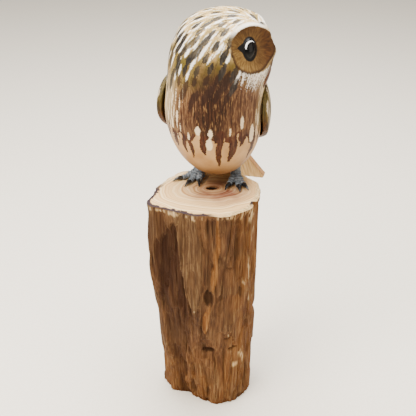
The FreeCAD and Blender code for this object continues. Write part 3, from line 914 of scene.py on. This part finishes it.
flakes = np.zeros(len(points))
for at_turn, at_level, half_width, half_height in (
        (48, 150, 3.2, 4.5), (54, 62, 6.0, 6.5), (45, 50, 5.0, 4.0), (60, 54, 3.0, 8.0),
        (57, 160, 3.0, 18.0), (60, 126, 2.0, 10.0), (1, 222, 4.5, 3.5), (-24, 224, 16.0, 2.8),
        (24, 225, 14.0, 3.2), (46, 223, 10.0, 5.5), (58, 217, 7.0, 8.0), (66, 204, 3.0, 14.0),
        (-52, 224, 12.0, 2.6), (62, 190, 1.5, 14.0), (30, 88, 1.5, 3.0), (-17, 121, 4.0, 2.0),
        (100, 222, 12.0, 3.5), (150, 223, 14.0, 3.0), (-110, 224, 20.0, 2.0),
        (-160, 222, 10.0, 4.0), (72, 120, 2.0, 8.0)):
    flakes = np.maximum(flakes, dent(at_turn, at_level, half_width, half_height, 0.7))
gold = np.maximum(second, dent(11, 172, 2.4, 20.0))
store(log, "rim_gap", np.clip(rim_gap, -2, 30))
store(log, "sink", np.where(skin > 0.5, sink / 8, 0.3))
# Painted shade inside the pits, darker the deeper they go.
store(log, "hole", np.clip(hole, 0, 1))
store(log, "flakes", flakes * smooth_step(fine + 0.9 * fibre + 0.6
                                          * value_noise(points, (2, 2, 5), 52), -0.15, 0.3))
stain = np.zeros(len(points))
for at_turn, at_level, half_width, half_height in (
        (-56, 182, 11, 28), (-46, 138, 9, 28), (27, 190, 6, 22), (2, 84, 8, 12),
        (-62, 206, 14, 24), (52, 110, 5, 22), (10, 120, 4, 26), (-34, 26, 5, 12), (66, 34, 4, 30),
        (-12, 160, 3, 30), (100, 130, 9, 50), (-110, 60, 12, 34), (160, 150, 12, 44),
        (-150, 190, 12, 26), (130, 40, 10, 26)):
    stain = np.maximum(stain, dent(at_turn, at_level, half_width, half_height, 0.9))
store(log, "stain", stain * smooth_step(coarse + fibre, -0.7, 0.4))
store(log, "gold", gold)
store(log, "grey", np.clip(plate * 0.8 + 0.3 * dent(-62, 190, 10, 40) + 0.6 * dent(14, 34, 14, 22) +
                           0.5 * dent(-90, 210, 16, 30), 0, 1))
# Painted shade along the valley, strongest in its upper part, and in a patch at its top.
store(log, "valley", np.maximum(valley * (0.25 + 0.75 * smooth_step(level, 95, 130)),
                                dent(-74, 202, 13, 34, 0.8)))
store(log, "warm", np.clip(smooth_step(turn, 20, 50) * (1 - smooth_step(turn, 75, 110)) +
                           0.9 * (1 - smooth_step(level, 20, 90)), 0, 1))
bark_turns = (smooth_step(turn, -130, -95) * (1 - smooth_step(turn, 0, 16)) +
              0.8 * smooth_step(np.abs(turn), 150, 165))
store(log, "bark", np.clip(bark_turns, 0, 1))
store(log, "notch", notch)
store(log, "splinter", np.clip(smooth_step(turn, 8, 26) * (1 - smooth_step(turn, 95, 125)), 0, 1))
pith_gap = np.hypot(points[:, 0] - PITH[0], points[:, 1] - PITH[1])
# Painted shade: the inside of the pith bore is painted near black.
store(log, "bore_shade", smooth_step(-pith_gap, -9.0, -8.0) * (1 - smooth_step(level, 225.2, 226.2)))
store(log, "cap", smooth_step(normals[:, 2], 0.6, 0.85) * smooth_step(level, 222, 225))

# Hardwood heart log: split and weathered sides, grey-brown and fibrous, hardly any
# shine; the sawn top is sanded and oiled, so its rings and heart stain show.
timber, tree, shader, mm = new_material("split_heartwood_log")
fields = {name: stored(tree, name) for name in
          ("rim_gap", "sink", "hole", "flakes", "gold", "grey", "valley", "warm", "bark", "notch",
           "splinter", "cap", "stain", "bore_shade")}
strand_place = stretched(tree, mm, (1.0, 1.0, 0.05))
strand = noise(tree, strand_place, 1 / 1.5, 6.0, 0.65)
streak_place = stretched(tree, mm, (1.0, 1.0, 0.14))
streak = noise(tree, streak_place, 1 / 7, 4.0, 0.6)
cloud = noise(tree, mm, 1 / 22, 3.0)
woods = {}
for name, where, stops in (
        ("fibres", strand, [(0.3, "22130B"), (0.43, "442B1A"), (0.55, "66452B"), (0.7, "8C6C48")]),
        ("patches", streak, [(0.34, "2E1A0F"), (0.5, "543720"), (0.66, "795636")]),
        ("grey", strand, [(0.32, "2E1E12"), (0.5, "553D26"), (0.68, "846A48")]),
        ("gold", strand, [(0.32, "683A16"), (0.5, "8E5A28"), (0.68, "B08048")]),
        ("cream", strand, [(0.34, "96703E"), (0.48, "CDAC78"), (0.66, "E6D0A4")])):
    woods[name] = colours(tree, where, stops)
side_wood = laid(tree, 0.5, woods["fibres"], woods["patches"])
# Painted shade: the deeper the side is sunk, the darker it is painted.
recess_shade = span(tree, fields["sink"], 0.3, 0.85, to_high=0.6)
pale_ridge = span(tree, fields["sink"], 0.16, 0.02, to_high=0.4)
grey_patch = span(tree, cloud, 0.52, 0.62, to_high=0.35)
shares = {}
for name, most in (("grey", 0.62), ("valley", 0.55), ("warm", 0.35), ("gold", 0.45), ("stain", 0.6),
                   ("hole", 0.68), ("flakes", 0.85)):
    shares[name] = times(tree, fields[name], most)
side_coat = side_wood
for where, colour in (
        (shares["warm"], woods["gold"]), (grey_patch, woods["grey"]),
        (shares["grey"], woods["grey"]),
        (shares["valley"], tint("32180A")), (shares["stain"], tint("2C1508")),
        (recess_shade, tint("2A160A")),
        (pale_ridge, woods["grey"]), (shares["gold"], woods["gold"]),
        (shares["hole"], tint("34200F")),
        (shares["flakes"], woods["cream"])):
    side_coat = laid(tree, where, side_coat, colour)

# Growth rings: about 2.6 mm apart, drawn out of round about the pith.
warp = add(tree, "ShaderNodeTexNoise",
           {"Vector": mm, "Scale": 1 / 30, "Detail": 2.0}).outputs["Color"]
pushed = scaled(tree, warp, RING_WARP)
bent = add(tree, "ShaderNodeVectorMath", {0: mm, 1: pushed}, operation="ADD").outputs[0]
centred = add(tree, "ShaderNodeVectorMath", {
    0: bent, 1: (PITH[0] + RING_WARP / 2, PITH[1] + RING_WARP / 2, 0.0)},
    operation="SUBTRACT").outputs[0]
flat_place = add(tree, "ShaderNodeMapping",
                 {"Vector": centred, "Scale": (1.0, 1.2, 0.0)}).outputs[0]
from_pith = vector_length(tree, flat_place)
ring_line = add(tree, "ShaderNodeCombineXYZ", {"X": from_pith}).outputs[0]
rings = noise(tree, ring_line, 1 / 2.6, 4.0)
sapwood = colours(tree, rings, [(0.36, "BC8450"), (0.46, "E2B678"), (0.6, "F6D8A4")])
heart = colours(tree, rings, [(0.34, "6A3A28"), (0.48, "8E5A44"), (0.62, "B08468")])
heart_spot = add(tree, "ShaderNodeVectorMath", {0: bent, 1: (20.0, 12.0, 234.0)},
                 operation="SUBTRACT").outputs[0]
heart_far = vector_length(tree, heart_spot)
heart_low = span(tree, heart_far, 37.0, 16.0)
blush = noise(tree, mm, 1 / 14, 2.0)
blush_on = span(tree, blush, 0.35, 0.6, to_low=0.55)
heart_on = times(tree, heart_low, blush_on)
# Under the belly: painted shadow of the owl on the log top, over a deeper heart stain.
under_belly = add(tree, "ShaderNodeVectorMath", {0: mm, 1: (14.0, 33.0, LOG_TOP)},
                  operation="DISTANCE").outputs["Value"]
belly_shadow_and_heart_stain = span(tree, under_belly, 30.0, 14.0, to_high=0.8)
pith_on = span(tree, from_pith, 7.5, 5.0, to_high=0.8)
ragged_rim = noise(tree, mm, 1 / 4, 4.0)
rim_shift = span(tree, ragged_rim, 0.3, 0.7, to_low=-2.0, to_high=2.0)
rim_rough = sum_up(tree, "ADD", fields["rim_gap"], rim_shift)
bark_band = span(tree, rim_rough, 4.9, 4.0)
bark_on = times(tree, bark_band, fields["bark"])
splinter_band = span(tree, rim_rough, 6.0, 4.0)
splinter_on = times(tree, splinter_band, fields["splinter"])
top_coat = sapwood
for where, colour in ((heart_on, heart), (belly_shadow_and_heart_stain, tint("3E2014")), (pith_on, tint("5E3420")),
                      (splinter_on, woods["cream"]),
                      (bark_on, tint("3A2E30")), (fields["notch"], tint("3B3034"))):
    top_coat = laid(tree, where, top_coat, colour)
coat = laid(tree, fields["cap"], side_coat, top_coat)
# Painted shade in the bore.
coat = laid(tree, fields["bore_shade"], coat, tint("1A0C05"))
feed(tree, shader, "Base Color", coat)
off_cap = sum_up(tree, "SUBTRACT", 1.0, fields["cap"])
strand_height = times(tree, strand, off_cap)
strand_relief = bumps(tree, strand_height, 0.9, 0.0022)
feed(tree, shader, "Normal", strand_relief)
rough_side = add(tree, "ShaderNodeMapRange",
                 {"Value": fields["cap"], "To Min": 0.78, "To Max": 0.42}).outputs[0]
feed(tree, shader, "Roughness", rough_side)
shader.inputs["Specular IOR Level"].default_value = 0.12
finish_piece(log, timber, "rough_log", "log")

# ------------------------------------------------------------ camera, floor
bm = bmesh.new()
bmesh.ops.create_grid(bm, x_segments=2, y_segments=2, size=4.0)
floor_mesh = bpy.data.meshes.new("floor")
bm.to_mesh(floor_mesh)
bm.free()
floor = bpy.data.objects.new("floor", floor_mesh)
bpy.context.scene.collection.objects.link(floor)
# Seamless card: pale and matt, with the faint tooth of pressed paper.
card, tree, shader, mm = new_material("matt_paper_backdrop")
tooth = noise(tree, mm, 1 / 3, 3.0)
paper = colours(tree, tooth, [(0.3, "F0E6D4"), (0.7, "F5ECDC")])
feed(tree, shader, "Base Color", paper)
shader.inputs["Roughness"].default_value = 0.8
floor_mesh.materials.append(card)

camera_data = bpy.data.cameras.new("camera")
camera_data.lens = 73.56
camera = bpy.data.objects.new("camera", camera_data)
camera.location = (0.002, -0.707, 0.583)
camera.rotation_euler = (math.radians(62.2), 0.0, 0.0)
bpy.context.scene.collection.objects.link(camera)
bpy.context.scene.camera = camera

for name, place, size, watts, colour in (
        ("window", (-0.75, -0.75, 1.15), 0.9, 34.0, "FFF8EE"),
        ("fill", (0.95, -0.6, 0.6), 0.9, 6.0, "FFF4E4"),
        ("overhead", (0.0, 0.2, 1.35), 1.1, 56.0, "FFFFFF")):
    lamp = bpy.data.lights.new(name, "AREA")
    lamp.size = size
    lamp.energy = watts
    lamp.color = tint(colour)[:3]
    light = bpy.data.objects.new(name, lamp)
    light.location = place
    light.rotation_euler = (Vector(place) - Vector((0, 0, 0.24))).to_track_quat("Z", "Y").to_euler()
    bpy.context.scene.collection.objects.link(light)
room = bpy.data.worlds.new("room")
room.use_nodes = True
room.node_tree.nodes["Background"].inputs["Color"].default_value = tint("FFFCF6")
room.node_tree.nodes["Background"].inputs["Strength"].default_value = 0.4
bpy.context.scene.world = room
